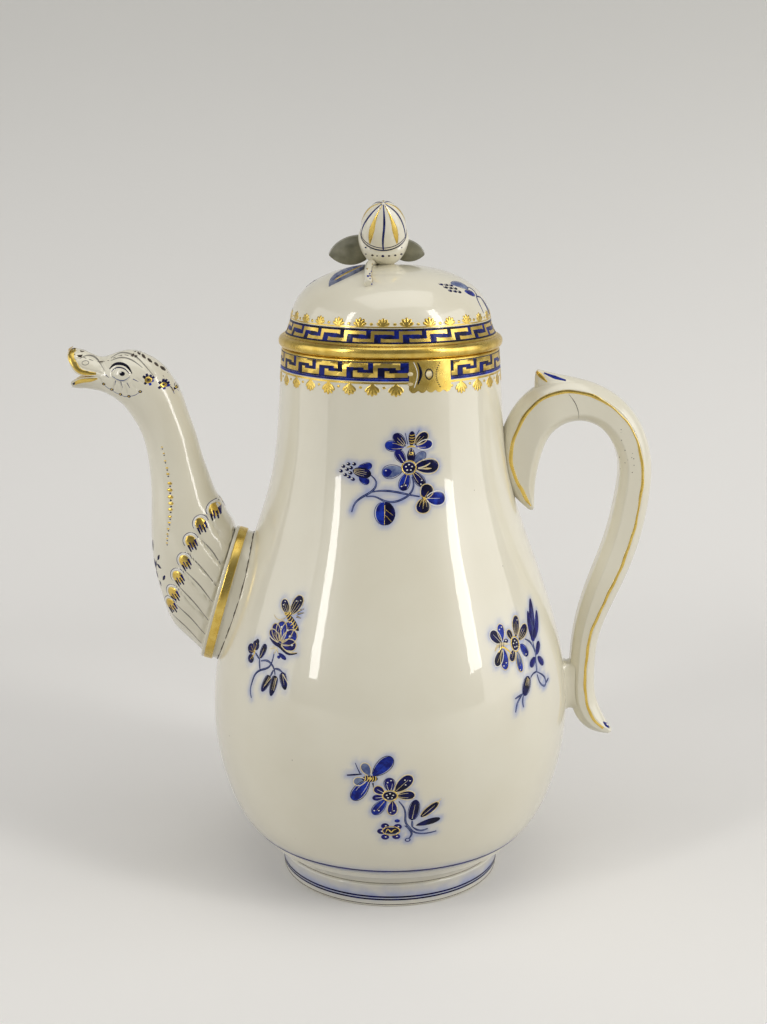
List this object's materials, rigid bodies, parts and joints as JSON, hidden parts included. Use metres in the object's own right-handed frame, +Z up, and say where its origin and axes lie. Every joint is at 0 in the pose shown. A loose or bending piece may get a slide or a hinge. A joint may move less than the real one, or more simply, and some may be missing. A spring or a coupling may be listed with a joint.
{
  "type": "porcelain coffee pot",
  "caption": "Tall pear-shaped porcelain coffee pot with a bird-headed spout, a scrolled strap handle and a loose domed lid with a rosebud knob.",
  "frame": {"origin": "the pot's axis where it meets the table, in the plane of the foot's underside", "axes": "+Z up the pot's axis, -X towards the spout, +X towards the handle, -Y the side that the rosebud leans to"},
  "size_m": [0.2053, 0.1278, 0.2415],
  "materials": {
    "glaze": "glossy cream-white glaze",
    "leaf_glaze": "glossy grey-green glaze",
    "cobalt_paint": "cobalt blue under a glossy glaze",
    "gilding": "burnished gold, worn in places"
  },
  "bodies": {
    "pot": {"pot_body": "glaze", "foot_ring": "glaze", "spout_collar": "glaze", "spout_neck": "glaze", "bird_head": "glaze", "feather_sleeve": "glaze", "handle": "glaze", "handle_lug": "glaze", "thumb_rest": "glaze"},
    "lid": {"lid_dome": "glaze", "lid_rim": "gilding", "lid_flange": "glaze", "finial_bud": "glaze", "finial_calyx": "glaze", "finial_stem": "glaze", "finial_leaf_front": "cobalt_paint", "finial_leaf_left": "leaf_glaze", "finial_leaf_right": "leaf_glaze"}
  },
  "joints": [
    {"name": "lid_lift", "type": "slide", "parent": "pot", "child": "lid", "axis": [0, 0, 1], "range_m": [0, 0.06]}
  ]
}
